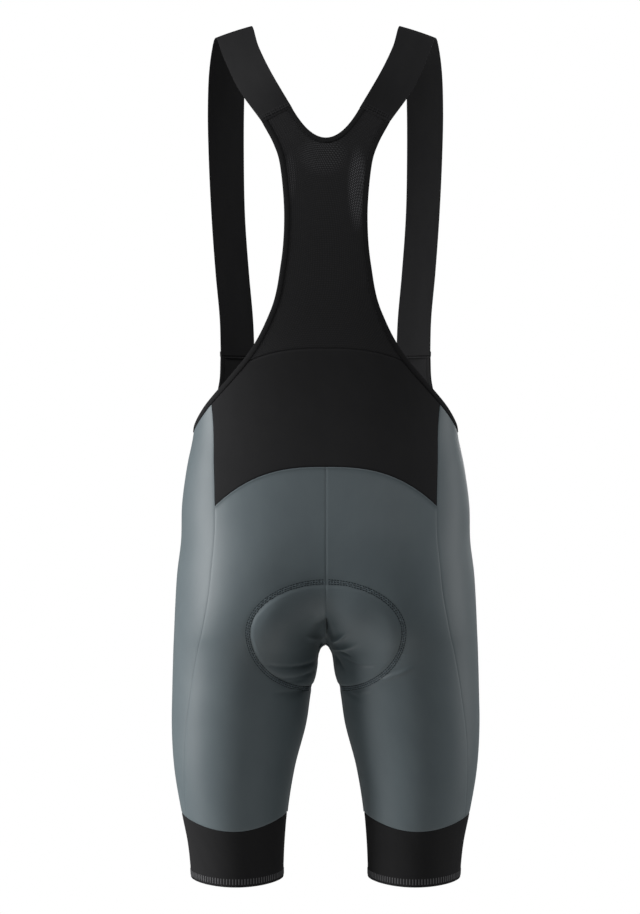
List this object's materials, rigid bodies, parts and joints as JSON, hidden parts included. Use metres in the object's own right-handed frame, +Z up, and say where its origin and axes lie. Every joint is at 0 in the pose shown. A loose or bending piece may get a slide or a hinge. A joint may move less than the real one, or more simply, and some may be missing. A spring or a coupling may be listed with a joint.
{
  "type": "cycling bib shorts",
  "caption": "Close-fitting knit shorts held up by wide shoulder straps and a narrow back yoke, with a padded seat, in their worn shape with no wearer.",
  "frame": {"origin": "midway between the two shoulder straps, at the height of their tops, where the wearer's shoulders hold the garment up", "axes": "+Z up along the standing wearer, -Y the garment's front, +X the wearer's left"},
  "size_m": [0.3322, 0.2331, 0.9217],
  "materials": {
    "slate_knit": "satin stretch knit",
    "black_knit": "matte stretch knit",
    "black_mesh": "matte perforated knit",
    "black_elastic": "matte woven elastic",
    "black_tape": "matte folded edge",
    "pad_fabric": "brushed knit over foam"
  },
  "bodies": {
    "root": {"back_mesh": "black_mesh", "lumbar_panel": "black_knit", "front_bib": "black_knit", "back_neck_binding": "black_tape", "front_neck_binding": "black_tape", "seat_left": "slate_knit", "seat_right": "slate_knit", "front_left": "slate_knit", "front_right": "slate_knit", "leg_band_left": "black_elastic", "leg_band_right": "black_elastic", "armhole_binding_left": "black_tape", "armhole_binding_right": "black_tape", "strap_left": "black_elastic", "strap_right": "black_elastic", "seat_pad": "pad_fabric"}
  },
  "joints": []
}
